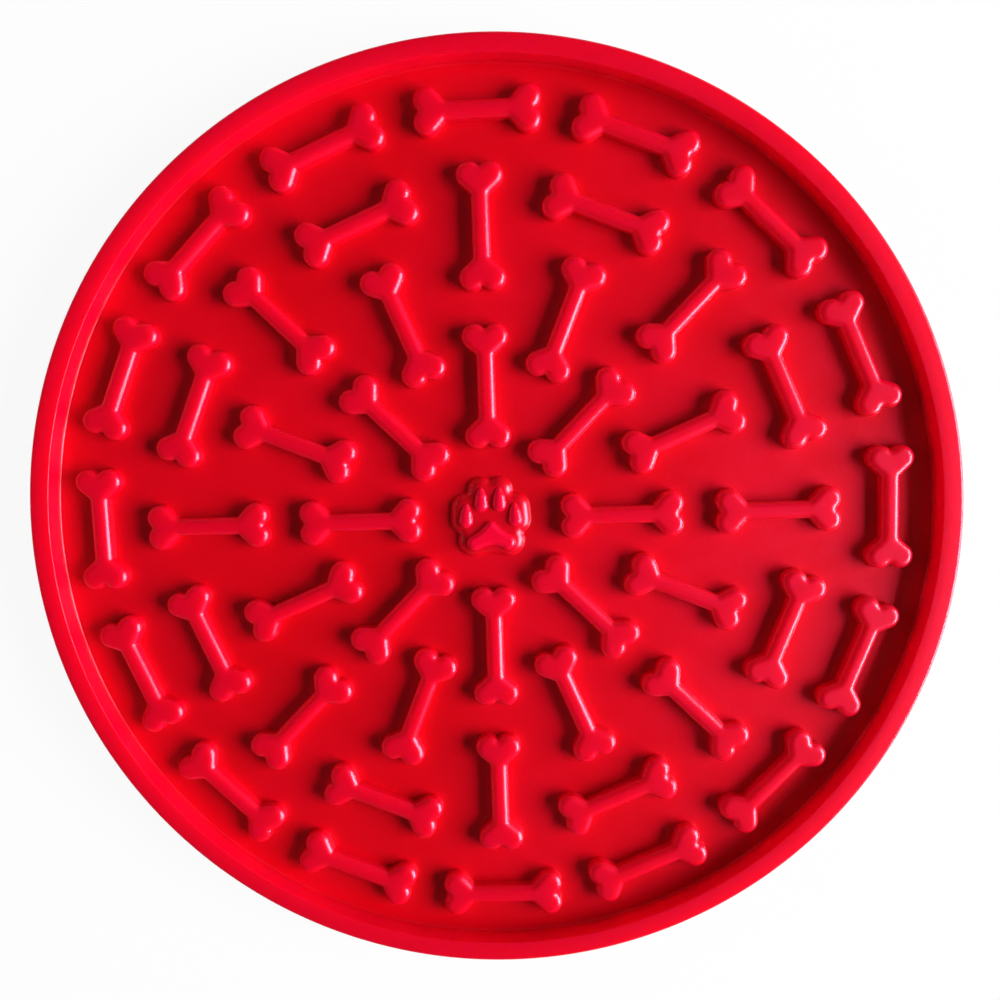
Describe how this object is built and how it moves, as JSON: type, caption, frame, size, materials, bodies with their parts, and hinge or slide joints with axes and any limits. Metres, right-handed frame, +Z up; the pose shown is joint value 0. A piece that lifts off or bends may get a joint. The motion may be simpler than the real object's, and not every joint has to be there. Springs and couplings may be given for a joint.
{
  "type": "lick mat",
  "caption": "Round licking mat of red silicone: thin floor with rings of raised bones round a raised paw, a low flat-topped rim and suction cups on the back.",
  "frame": {"origin": "centre of the mat on the surface that the suction cups stand on", "axes": "+Z up out of the licking face, +Y towards the toes of the paw, +X to the right seen from above"},
  "size_m": [0.2, 0.2, 0.01],
  "materials": {
    "silicone": "satin moulded silicone"
  },
  "bodies": {
    "root": {"floor_disc": "silicone", "rim": "silicone", "ring_1_bone_1": "silicone", "ring_1_bone_2": "silicone", "ring_1_bone_3": "silicone", "ring_1_bone_4": "silicone", "ring_1_bone_5": "silicone", "ring_1_bone_6": "silicone", "ring_1_bone_7": "silicone", "ring_1_bone_8": "silicone", "ring_2_bone_1": "silicone", "ring_2_bone_2": "silicone", "ring_2_bone_3": "silicone", "ring_2_bone_4": "silicone", "ring_2_bone_5": "silicone", "ring_2_bone_6": "silicone", "ring_2_bone_7": "silicone", "ring_2_bone_8": "silicone", "ring_3_bone_1": "silicone", "ring_3_bone_2": "silicone", "ring_3_bone_3": "silicone", "ring_3_bone_4": "silicone", "ring_3_bone_5": "silicone", "ring_3_bone_6": "silicone", "ring_3_bone_7": "silicone", "ring_3_bone_8": "silicone", "ring_4_bone_1": "silicone", "ring_4_bone_2": "silicone", "ring_4_bone_3": "silicone", "ring_4_bone_4": "silicone", "ring_4_bone_5": "silicone", "ring_4_bone_6": "silicone", "ring_4_bone_7": "silicone", "ring_4_bone_8": "silicone", "ring_5_bone_1": "silicone", "ring_5_bone_2": "silicone", "ring_5_bone_3": "silicone", "ring_5_bone_4": "silicone", "ring_5_bone_5": "silicone", "ring_5_bone_6": "silicone", "ring_5_bone_7": "silicone", "ring_5_bone_8": "silicone", "ring_5_bone_9": "silicone", "ring_5_bone_10": "silicone", "ring_5_bone_11": "silicone", "ring_5_bone_12": "silicone", "ring_5_bone_13": "silicone", "ring_5_bone_14": "silicone", "ring_5_bone_15": "silicone", "ring_5_bone_16": "silicone", "paw_boss": "silicone", "paw_pad": "silicone", "paw_toe_1": "silicone", "paw_toe_2": "silicone", "paw_toe_3": "silicone", "paw_toe_4": "silicone", "centre_suction_cup": "silicone", "inner_suction_cups": "silicone", "outer_suction_cups": "silicone"}
  },
  "joints": []
}
